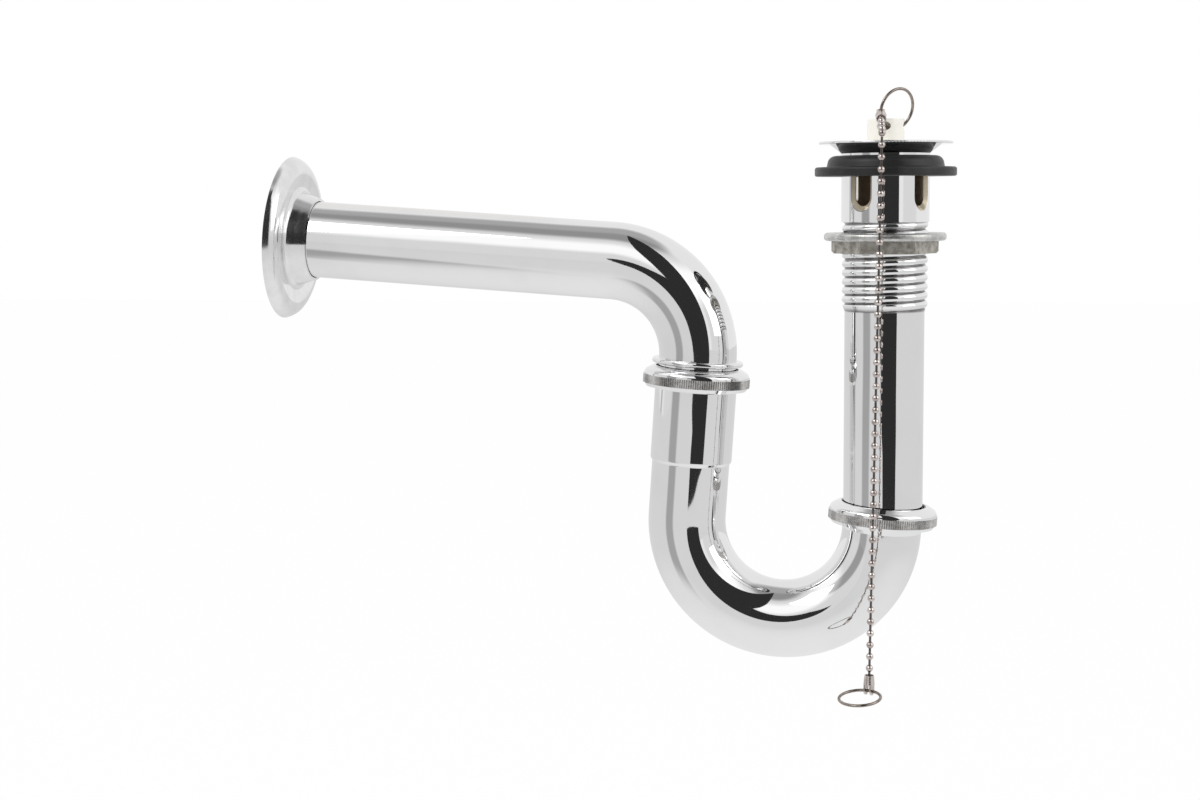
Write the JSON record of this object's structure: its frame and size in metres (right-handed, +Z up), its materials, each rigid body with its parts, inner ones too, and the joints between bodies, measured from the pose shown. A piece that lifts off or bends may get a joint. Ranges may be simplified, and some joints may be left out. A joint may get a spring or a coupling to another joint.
{
  "type": "basin trap",
  "caption": "Chromed basin waste with rubber plug on a ball chain, threaded tail pipe, U-shaped trap bend on slip nuts, and an outlet arm with a round wall flange.",
  "frame": {"origin": "on the waste's axis, level with the underside of the flange's brim, where it sits on the basin", "axes": "+Z up along the waste, -X towards the wall in the plane of the bend, -Y towards the viewer and the chain"},
  "size_m": [0.2815, 0.0815, 0.2408],
  "materials": {
    "chrome": "polished plated tube",
    "black_rubber": "matte moulded",
    "washer_steel": "dull pressed",
    "nut_brass": "rough, unpolished",
    "slip_plastic": "plain moulded",
    "plug_rubber": "smooth off-white",
    "chain_metal": "nickel plated, slightly warm"
  },
  "bodies": {
    "waste": {"waste_body": "chrome", "tail_pipe": "chrome"},
    "seal": {"waste_seal": "black_rubber"},
    "washer": {"backing_washer": "washer_steel"},
    "nut": {"lock_nut": "nut_brass"},
    "bend": {"trap_bend": "chrome"},
    "inlet_packing": {"inlet_slip_washer": "slip_plastic", "inlet_seal": "black_rubber"},
    "inlet_nut": {"inlet_slip_nut": "chrome"},
    "outlet_packing": {"outlet_slip_washer": "slip_plastic", "outlet_seal": "black_rubber"},
    "outlet_nut": {"outlet_slip_nut": "chrome"},
    "collar": {"arm_collar": "chrome"},
    "arm": {"outlet_arm": "chrome"},
    "wall_plate": {"wall_flange": "chrome"},
    "plug_body": {"plug": "plug_rubber"},
    "ring_lead": {"plug_ring": "chain_metal", "chain_upper_coupling": "chain_metal", "chain_lead": "chain_metal"},
    "upper_run": {"chain_upper": "chain_metal"},
    "lower_run": {"chain_lower": "chain_metal", "chain_lower_coupling": "chain_metal"},
    "end_ring": {"chain_end_ring": "chain_metal"}
  },
  "joints": [
    {"name": "seal_slide", "type": "slide", "parent": "waste", "child": "seal", "axis": [0, 0, 1], "range_m": [-0.016, 0]},
    {"name": "washer_travel", "type": "slide", "parent": "waste", "child": "washer", "axis": [0, 0, 1], "range_m": [-0.0214, 0.0036]},
    {"name": "lock_nut_turn", "type": "hinge", "parent": "washer", "child": "nut", "pos_m": [0, 0, -0.042], "axis": [0, 0, 1], "range_deg": [-2160, 360]},
    {"name": "bend_swivel", "type": "hinge", "parent": "waste", "child": "bend", "pos_m": [0, 0, -0.1499], "axis": [0, 0, 1], "range_deg": [-90, 30]},
    {"name": "inlet_nut_travel", "type": "slide", "parent": "bend", "child": "inlet_packing", "axis": [0.0698, 0, 0.9976], "range_m": [0, 0.0031]},
    {"name": "inlet_nut_turn", "type": "hinge", "parent": "inlet_packing", "child": "inlet_nut", "pos_m": [0, 0, -0.1499], "axis": [0.0698, 0, 0.9976], "range_deg": [0, 720]},
    {"name": "outlet_nut_travel", "type": "slide", "parent": "bend", "child": "outlet_packing", "axis": [0.0698, 0, 0.9976], "range_m": [0, 0.00105]},
    {"name": "outlet_nut_turn", "type": "hinge", "parent": "outlet_packing", "child": "outlet_nut", "pos_m": [-0.07666, 0, -0.09647], "axis": [0.0698, 0, 0.9976], "range_deg": [0, 240]},
    {"name": "arm_height", "type": "slide", "parent": "bend", "child": "collar", "axis": [0.0698, 0, 0.9976], "range_m": [0, 0.02]},
    {"name": "arm_swivel", "type": "hinge", "parent": "collar", "child": "arm", "pos_m": [-0.07617, 0, -0.08949], "axis": [0.0698, 0, 0.9976], "range_deg": [-120, 45]},
    {"name": "wall_flange_slide", "type": "slide", "parent": "arm", "child": "wall_plate", "axis": [0.9976, 0, -0.0698], "range_m": [0, 0.12]},
    {"name": "plug_lift", "type": "slide", "parent": "waste", "child": "plug_body", "axis": [0, 0, 1], "range_m": [0, 0.05]},
    {"name": "ring_swing", "type": "hinge", "parent": "plug_body", "child": "ring_lead", "pos_m": [0.00319, -0.00331, 0.007], "axis": [-0.7193, -0.6947, 0], "range_deg": [0, 12]},
    {"name": "chain_swing", "type": "hinge", "parent": "ring_lead", "child": "upper_run", "pos_m": [0, -0.03124, 0.00359], "axis": [-1, 0, 0], "range_deg": [0, 80]},
    {"name": "chain_bend", "type": "hinge", "parent": "upper_run", "child": "lower_run", "pos_m": [-0.00158, -0.03124, -0.09914], "axis": [-1, 0, 0], "range_deg": [0, 60]},
    {"name": "end_ring_swing", "type": "hinge", "parent": "lower_run", "child": "end_ring", "pos_m": [-0.00336, -0.03124, -0.21561], "axis": [0.9205, -0.3907, 0], "range_deg": [-20, 90]}
  ],
  "couplings": [
    {"joint": "washer_travel", "follows": "lock_nut_turn", "m_per_rad": 0.000565},
    {"joint": "inlet_nut_travel", "follows": "inlet_nut_turn", "m_per_rad": 0.00023873},
    {"joint": "outlet_nut_travel", "follows": "outlet_nut_turn", "m_per_rad": 0.00023873}
  ]
}
